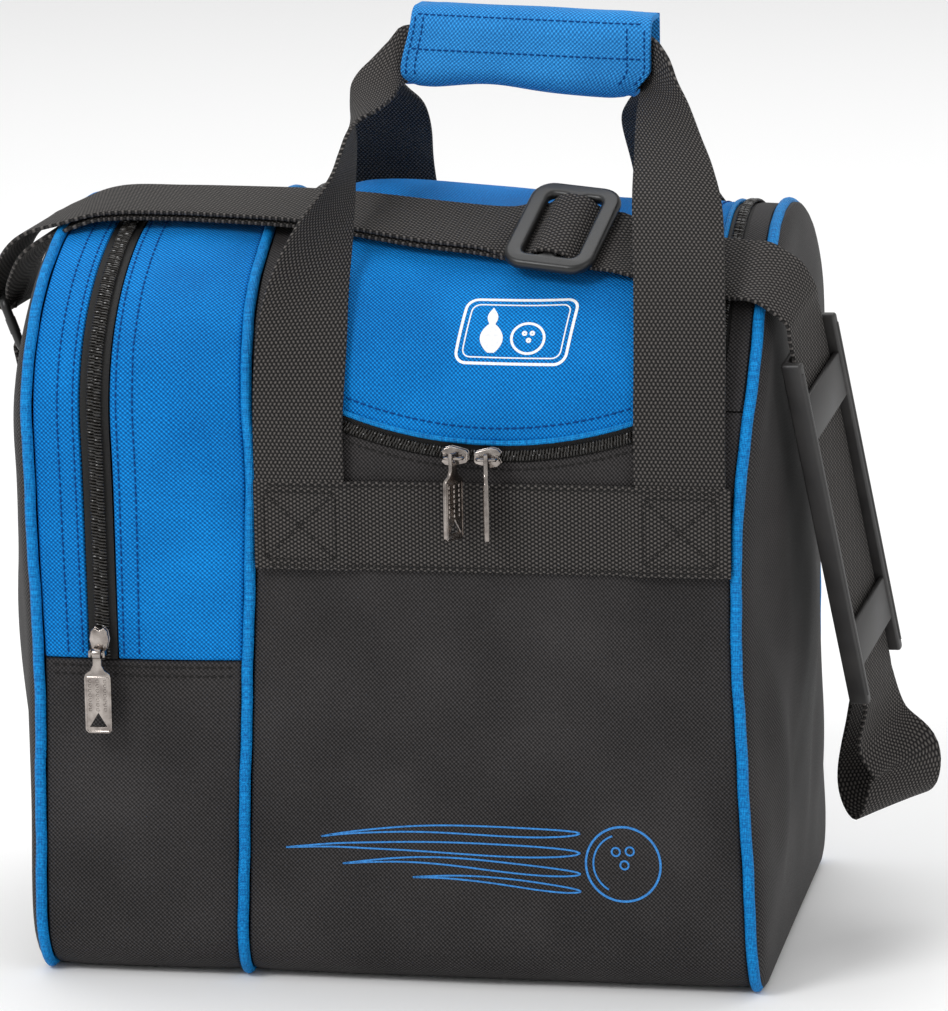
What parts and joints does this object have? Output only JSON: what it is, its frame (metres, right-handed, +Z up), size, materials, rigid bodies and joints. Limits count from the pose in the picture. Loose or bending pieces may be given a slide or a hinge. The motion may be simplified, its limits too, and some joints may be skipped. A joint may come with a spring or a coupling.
{
  "type": "bowling ball bag",
  "caption": "Soft single-ball bowling bag with an arched zip lid, a side shoe pocket, twin carrying handles in a padded grip wrap and an adjustable shoulder strap.",
  "frame": {"origin": "middle of the flat base, on the floor", "axes": "+X to the wearer's right along the bag's width, +Y to the back, +Z up"},
  "size_m": [0.4349, 0.2619, 0.4235],
  "materials": {
    "blue_fabric": "woven polyester, matte with a slight sheen",
    "blue_piping": "tight braided cover, slight sheen",
    "black_fabric": "woven polyester, matte",
    "webbing": "ribbed polypropylene webbing, matte",
    "zip_tape": "fine tape with a nylon coil",
    "black_plastic": "moulded, satin",
    "nickel": "dark nickel plate",
    "stiffener_board": "matte board",
    "foam": "closed-cell foam"
  },
  "bodies": {
    "root": {"ball_back_panel": "black_fabric", "ball_board": "stiffener_board", "ball_front_panel": "black_fabric", "body_zip_half": "zip_tape", "bottom_panel": "black_fabric", "divider_panel": "black_fabric", "foam_ball_cup": "foam", "front_band": "webbing", "gusset_left": "black_fabric", "gusset_right": "black_fabric", "handle_tail_front_left": "webbing", "handle_tail_front_right": "webbing", "handle_tail_rear_left": "webbing", "handle_tail_rear_right": "webbing", "hinge_welt": "black_fabric", "left_end_panel": "black_fabric", "piping_left": "blue_piping", "piping_middle": "blue_piping", "piping_right": "blue_piping", "rear_band": "webbing", "right_end_panel": "black_fabric", "ring_tab_left": "webbing", "ring_tab_right": "webbing", "shoe_back_panel": "black_fabric", "shoe_board": "stiffener_board", "shoe_front_lower": "black_fabric", "shoe_inner_strip": "blue_fabric", "shoe_outer_strip": "blue_fabric", "shoe_zip_left_half": "zip_tape", "shoe_zip_right_half": "zip_tape", "shoulder_strap_left_run": "webbing", "shoulder_strap_right_run": "webbing"},
    "lid": {"lid_panel": "blue_fabric", "lid_piping": "blue_piping", "lid_zip_half": "zip_tape", "strap_lid_upper": "webbing", "strap_lid_lower": "webbing", "triglide": "black_plastic"},
    "front_handle": {"front_handle_strap": "webbing", "grip_front_half": "blue_fabric"},
    "rear_handle": {"rear_handle_strap": "webbing", "grip_rear_half": "blue_fabric"},
    "slider_left": {"slider_left": "nickel"},
    "pull_left": {"pull_left": "nickel"},
    "slider_right": {"slider_right": "nickel"},
    "pull_right": {"pull_right": "nickel"},
    "shoe_slider": {"shoe_slider": "nickel"},
    "shoe_pull": {"shoe_pull": "nickel"},
    "ring_left": {"ring_left": "black_plastic"},
    "ring_right": {"ring_right": "black_plastic"},
    "shoulder_pad": {"shoulder_pad": "black_plastic"}
  },
  "joints": [
    {"name": "lid_hinge", "type": "hinge", "parent": "root", "child": "lid", "pos_m": [0.04575, 0.0917, 0.30376], "axis": [-1, 0, 0], "range_deg": [0, 110], "deforming": ["shoulder_strap_left_run", "shoulder_strap_right_run"]},
    {"name": "front_handle_fold", "type": "hinge", "parent": "root", "child": "front_handle", "pos_m": [0.04575, -0.1255, 0.2305], "axis": [1, 0, 0], "range_deg": [0, 165]},
    {"name": "rear_handle_fold", "type": "hinge", "parent": "root", "child": "rear_handle", "pos_m": [0.04575, 0.1255, 0.2305], "axis": [-1, 0, 0], "range_deg": [0, 165]},
    {"name": "slider_left_travel", "type": "hinge", "parent": "root", "child": "slider_left", "pos_m": [0.04575, -0.1245, 0.458], "axis": [0, 1, 0], "range_deg": [0, 10.5]},
    {"name": "pull_left_swing", "type": "hinge", "parent": "slider_left", "child": "pull_left", "pos_m": [0.03175, -0.1312, 0.242], "axis": [-1, 0, 0], "range_deg": [0, 100]},
    {"name": "slider_right_travel", "type": "hinge", "parent": "root", "child": "slider_right", "pos_m": [0.04575, -0.1245, 0.458], "axis": [0, -1, 0], "range_deg": [0, 14]},
    {"name": "pull_right_swing", "type": "hinge", "parent": "slider_right", "child": "pull_right", "pos_m": [0.04625, -0.1312, 0.24155], "axis": [-1, 0, 0], "range_deg": [0, 100]},
    {"name": "shoe_slider_travel", "type": "slide", "parent": "root", "child": "shoe_slider", "axis": [0, 0, 1], "range_m": [0, 0.08]},
    {"name": "shoe_pull_swing", "type": "hinge", "parent": "shoe_slider", "child": "shoe_pull", "pos_m": [-0.131, -0.1304, 0.151], "axis": [-1, 0, 0], "range_deg": [0, 130]},
    {"name": "ring_left_swing", "type": "hinge", "parent": "root", "child": "ring_left", "pos_m": [-0.189, 0, 0.268], "axis": [0, 1, 0], "range_deg": [-6, 6]},
    {"name": "ring_right_swing", "type": "hinge", "parent": "root", "child": "ring_right", "pos_m": [0.1805, 0, 0.232], "axis": [0, 1, 0], "range_deg": [-6, 6]},
    {"name": "pad_slide", "type": "slide", "parent": "root", "child": "shoulder_pad", "axis": [-0.1486, -0.3144, 0.9376], "range_m": [0, 0.015]}
  ],
  "couplings": [
    {"joint": "front_handle_fold", "follows": "lid_hinge", "ratio": 1.5},
    {"joint": "rear_handle_fold", "follows": "lid_hinge", "ratio": 1.5}
  ]
}
